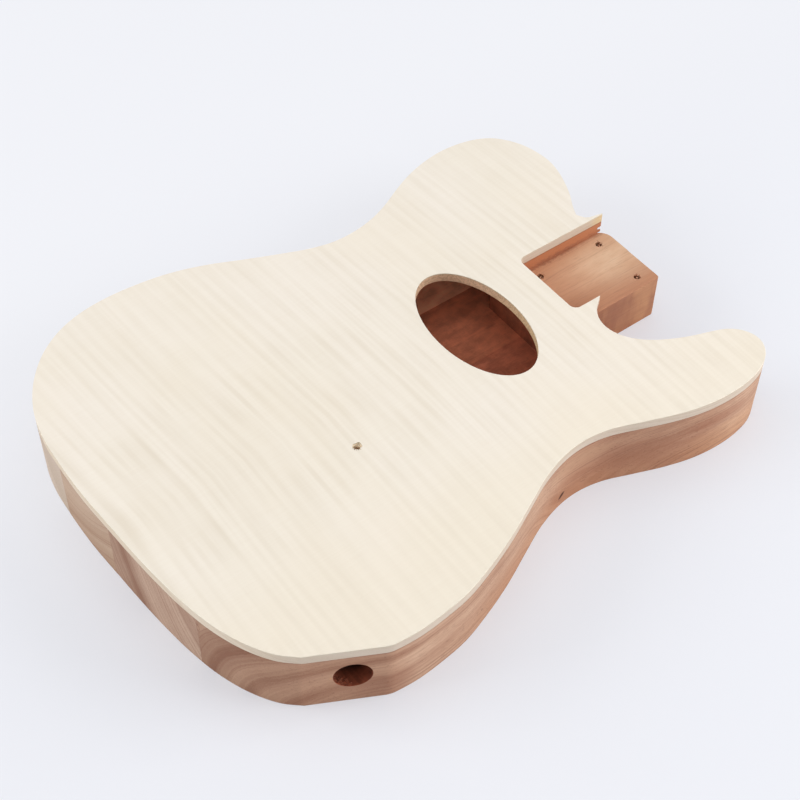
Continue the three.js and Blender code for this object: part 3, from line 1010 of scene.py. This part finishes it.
def screw_hole_fibres(dice):
    """Fibres that stand round the four screw holes, with flakes lifted beside them."""
    torn_bits = []
    for number, hole in enumerate(SCREW_HOLES):
        for _ in range(7):
            angle = dice.uniform(0, math.tau)
            rim = Vector((math.cos(angle), math.sin(angle), 0))
            place = hole + rim * (SCREW_RADIUS * 1.02) - Vector((0, 0, 0.3 * MM))
            lean = -rim * dice.uniform(0.4, 1.6) + Vector((0, 0, dice.uniform(0.4, 1.0)))
            torn_bits.append(fibre(place, lean, (0.9, 2.2), (0.4, 0.9), 0.3, dice))
        flakes = [(-0.2, -0.3, 1.9, 1.0, -0.3), (-1.3, -1.3, 2.2, 0.7, -0.5)]
        if hole.y < CENTRE_Y:
            flakes.append((1.0, 1.3, 3.4, 1.2, -0.64))
        for along, across, long, wide, turn in flakes:
            place = hole + Vector((along, across, -0.3)) * MM
            size = (long * MM, wide * MM, 0.8 * MM)
            turn += dice.uniform(-0.15, 0.15)
            tilt = dice.uniform(-0.2, 0.2)
            torn_bits.append(flake(place, size, turn, tilt, 90 + number))
    return torn_bits


def wire_hole_fibres(dice):
    """Pale fibres and flakes at the torn side of the wire's hole."""
    torn_bits = []
    for _ in range(8):
        angle = math.radians(-128 + dice.uniform(-70, 70))
        rim = Vector((math.cos(angle), math.sin(angle), 0))
        out = WIRE_RADIUS * dice.uniform(0.85, 1.1)
        place = WIRE_HOLE + rim * out - Vector((0, 0, 0.9 * MM))
        lean = -rim * dice.uniform(0.2, 1.2) + Vector((dice.uniform(-0.5, 0.5), 0, 0.5))
        torn_bits.append(fibre(place, lean, (0.5, 0.9), (0.4, 0.8), 0.2, dice))
    for along, across, long, wide, turn, tilt in (
        (-1.5, -1.0, 1.9, 1.0, 0.5, 0.35),
        (-0.5, -1.9, 1.8, 1.0, -0.3, 0.3),
        (-1.9, 0.3, 1.3, 0.8, 1.0, 0.3),
    ):
        place = WIRE_HOLE + Vector((along, across, -0.62)) * MM
        torn_bits.append(flake(place, (long * MM, wide * MM, 0.5 * MM), turn, tilt, 95))
    return torn_bits


def jack_bore_fibres(dice):
    """The ragged fibres just inside the mouth of the jack's bore."""
    torn_bits = []
    for number in range(60):
        # most are low down, on the side of the bore towards the tail
        spread = 38 if number < 52 else 180
        angle = math.radians(-38 + dice.uniform(-spread, spread))
        rim = BORE_SIDE * math.cos(angle) + Vector((0, 0, math.sin(angle)))
        place = JACK_MOUTH + rim * JACK_RADIUS * 0.995 + JACK_INWARD * dice.uniform(0.4, 4) * MM
        lean = -rim * dice.uniform(0.15, 0.8) + JACK_INWARD * dice.uniform(-0.4, 0.9)
        lean += Vector((0, 0, dice.uniform(-0.4, 0.4)))
        torn_bits.append(fibre(place, lean, (0.8, 2.0), (0.5, 1.2), 0.4, dice))
    return torn_bits


def pocket_tip_fibres(dice):
    """A few fibres in the break at the tip of the pocket's wall, by turns up and down."""
    torn_bits = []
    for number in range(6):
        place = Vector((TIP_X - dice.uniform(0.6, 2.6), 29.5 + dice.uniform(0.0, 0.8), 0)) * MM
        place.z = (36.0 if number % 2 else 39.7) * MM
        lean = Vector((dice.uniform(-0.2, 0.8), -0.1, 1.0 if number % 2 else -1.0))
        torn_bits.append(fibre(place, lean, (0.5, 1.0), (0.5, 0.9), 0.3, dice))
    return torn_bits


dice = random.Random(7)
bunch("torn_fibres_screw_holes", screw_hole_fibres(dice), TORN_MAHOGANY)
bunch("torn_fibres_wire_hole", wire_hole_fibres(dice), TORN_MAPLE)
bunch("torn_fibres_jack_bore", jack_bore_fibres(dice), TORN_RED)
bunch("torn_fibres_pocket_tip", pocket_tip_fibres(dice), TORN_RED)


# Table, light and camera


def table_material():
    """A pale matt table. The camera sees part of it as glowing paper, painted light that is whiter
    and stronger towards the bass side, so the body's shadow stays soft on it, and all of it far
    from the body.
    From below it is see-through, and it takes no light off the back that lies on it."""
    material, g, shader, position = new_material("pale_table", 0.9, 0.1)
    shader.inputs["Base Color"].default_value = srgb("eeeff4")
    far = g.ramp(g.parts(position)["Y"], -0.15, 0.3)
    outer = g.ramp(g.between(position, (0.0, 0.0, 0.0)), 0.5, 1.2)
    tone = g.mix(outer, g.mix(far, srgb("eaebf1"), srgb("f3f4f9")), srgb("f1f2f7"))
    paper = g.node("ShaderNodeEmission", {"Color": tone})
    light_path = g.node("ShaderNodeLightPath")
    # painted light: near the body the glow lightens the shadow, more on the bass side
    glow_share = g.math("MAXIMUM", g.ramp(far, 0.0, 1.0, 0.36, 0.78), outer)
    seen = g.times(light_path.outputs["Is Camera Ray"], glow_share)
    both = g.node("ShaderNodeMixShader")
    g.plug(both.inputs[0], seen)
    g.plug(both.inputs[1], shader.outputs[0])
    g.plug(both.inputs[2], paper.outputs[0])
    one_sided = g.node("ShaderNodeMixShader")
    # rays shorter than this gap come off the back that lies on the table
    from_back = g.math("LESS_THAN", light_path.outputs["Ray Length"], BACK_GAP)
    under = g.node("ShaderNodeNewGeometry").outputs["Backfacing"]
    g.plug(one_sided.inputs[0], g.math("MAXIMUM", under, from_back))
    g.plug(one_sided.inputs[1], both.outputs[0])
    g.plug(one_sided.inputs[2], g.node("ShaderNodeBsdfTransparent").outputs[0])
    g.plug(g.tree.nodes["Material Output"].inputs["Surface"], one_sided.outputs[0])
    return material


bpy.ops.object.select_all(action="DESELECT")
bpy.ops.mesh.primitive_plane_add(size=TABLE_SIZE, location=(0, 0, -TABLE_DROP))
table = bpy.context.object
table.name = "table_top"
table.data.materials.append(table_material())

world = bpy.data.worlds.new("studio")
bpy.context.scene.world = world
world.use_nodes = True
room = Graph(world.node_tree)
backdrop = room.tree.nodes["Background"]
seen = room.node("ShaderNodeLightPath").outputs["Is Camera Ray"]
levels = {"Value": seen, "To Min": ROOM_LIGHT, "To Max": ROOM_SEEN}
strength = room.node("ShaderNodeMapRange", levels).outputs["Result"]
room.plug(backdrop.inputs["Color"], ROOM_COLOUR)
room.plug(backdrop.inputs["Strength"], strength)


def softbox(name, place, aim, width, height, power):
    """A large soft lamp that faces a point."""
    lamp = bpy.data.lights.new(name, "AREA")
    lamp.shape = "RECTANGLE"
    lamp.size = width
    lamp.size_y = height
    lamp.energy = power
    holder = bpy.data.objects.new(name, lamp)
    bpy.context.scene.collection.objects.link(holder)
    holder.location = place
    holder.rotation_euler = (Vector(aim) - Vector(place)).to_track_quat("-Z", "Y").to_euler()


softbox("right_softbox", (1.25, -1.0, 0.75), (0.05, 0, 0), 1.2, 1.0, 19)
softbox("left_softbox", (-1.35, 0.85, 0.75), (-0.05, 0, 0), 1.2, 1.0, 14)
softbox("front_softbox", (-0.75, -1.35, 1.0), (0, 0, 0), 1.2, 0.9, 3)
softbox("overhead_softbox", (0.1, 0.3, 1.9), (0, 0, 0), 1.6, 1.6, 5)

camera_data = bpy.data.cameras.new("camera")
camera = bpy.data.objects.new("camera", camera_data)
bpy.context.scene.collection.objects.link(camera)
bpy.context.scene.camera = camera
camera_data.sensor_width = CAMERA_SENSOR
camera_data.lens = CAMERA_LENS
camera_data.clip_end = CAMERA_REACH
turned = Matrix((CAMERA_RIGHT, CAMERA_UP, CAMERA_BACK)).transposed().to_4x4()
camera.matrix_world = Matrix.Translation(CAMERA_PLACE) @ turned

bpy.context.scene.view_settings.view_transform = "Standard"
